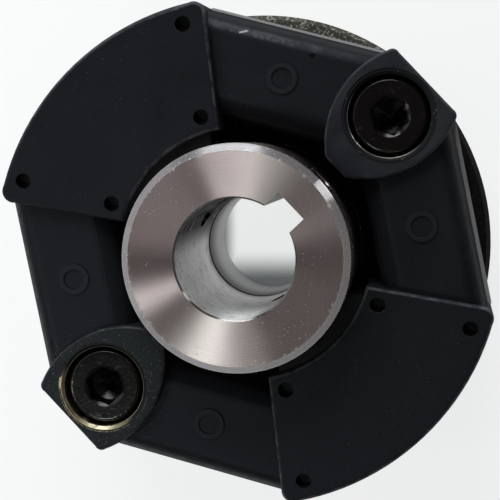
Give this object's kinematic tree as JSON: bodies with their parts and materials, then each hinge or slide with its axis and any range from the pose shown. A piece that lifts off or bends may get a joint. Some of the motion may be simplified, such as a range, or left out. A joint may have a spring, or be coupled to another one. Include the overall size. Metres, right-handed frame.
{
  "type": "flexible coupling",
  "caption": "Flexible shaft coupling: a keyed steel hub and a keyed flange hub joined by a bolted moulded rubber element with metal inserts.",
  "frame": {"origin": "centre of the flange hub's rear end face, on the shaft axis", "axes": "+Z along the shaft axis towards the hub's front face, +X through the keyways and an axial screw"},
  "size_m": [0.085, 0.0874, 0.058],
  "materials": {
    "black_iron": "black coated, rim slightly rough",
    "turned_steel": "bright, turned",
    "rubber": "moulded, satin",
    "sleeve_steel": "yellow passivated",
    "insert_alloy": "cast, with black bonding coat",
    "black_screw": "black oxide"
  },
  "bodies": {
    "root": {"flange_hub": "black_iron", "hub": "turned_steel", "rubber_element": "rubber", "axial_insert_1": "sleeve_steel", "axial_insert_2": "sleeve_steel", "radial_insert_1": "insert_alloy", "radial_insert_2": "insert_alloy", "axial_screw_1": "black_screw", "axial_screw_2": "black_screw", "radial_screw_1": "black_screw", "radial_screw_2": "black_screw", "hub_set_screw": "black_screw", "flange_set_screw": "black_screw"}
  },
  "joints": []
}
